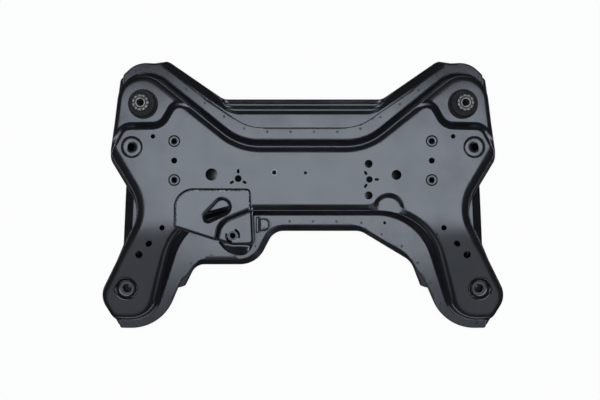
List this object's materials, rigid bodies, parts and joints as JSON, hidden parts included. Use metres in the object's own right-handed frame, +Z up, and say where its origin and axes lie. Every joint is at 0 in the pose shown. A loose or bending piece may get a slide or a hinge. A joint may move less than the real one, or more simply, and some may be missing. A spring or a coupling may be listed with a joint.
{
  "type": "front axle subframe",
  "caption": "Welded front axle subframe of two black-painted steel pressings with rear rubber bushes, front horn mounts, steering rack nuts and a bracket.",
  "frame": {"origin": "on the floor face of the lower pressing, on the centre line", "axes": "+X to the right seen from above, +Y to the rear bushes, +Z up"},
  "size_m": [1.0106, 0.6708, 0.119],
  "materials": {
    "black_paint": "satin",
    "bush_rubber": "matte",
    "bare_steel": "machined"
  },
  "bodies": {
    "root": {"upper_pressing": "black_paint", "lower_pressing": "black_paint", "left_bush_housing": "black_paint", "left_bush_outer_sleeve": "black_paint", "left_bush_rubber": "bush_rubber", "left_bush_inner_sleeve": "bare_steel", "left_arm_spacer": "black_paint", "left_horn_spacer": "black_paint", "left_rear_rack_nut": "black_paint", "left_front_rack_nut": "black_paint", "right_bush_housing": "black_paint", "right_bush_outer_sleeve": "black_paint", "right_bush_rubber": "bush_rubber", "right_bush_inner_sleeve": "bare_steel", "right_arm_spacer": "black_paint", "right_horn_spacer": "black_paint", "right_rear_rack_nut": "black_paint", "right_front_rack_nut": "black_paint", "mount_bracket": "black_paint", "bracket_nut": "black_paint", "clip_tab": "black_paint"}
  },
  "joints": []
}
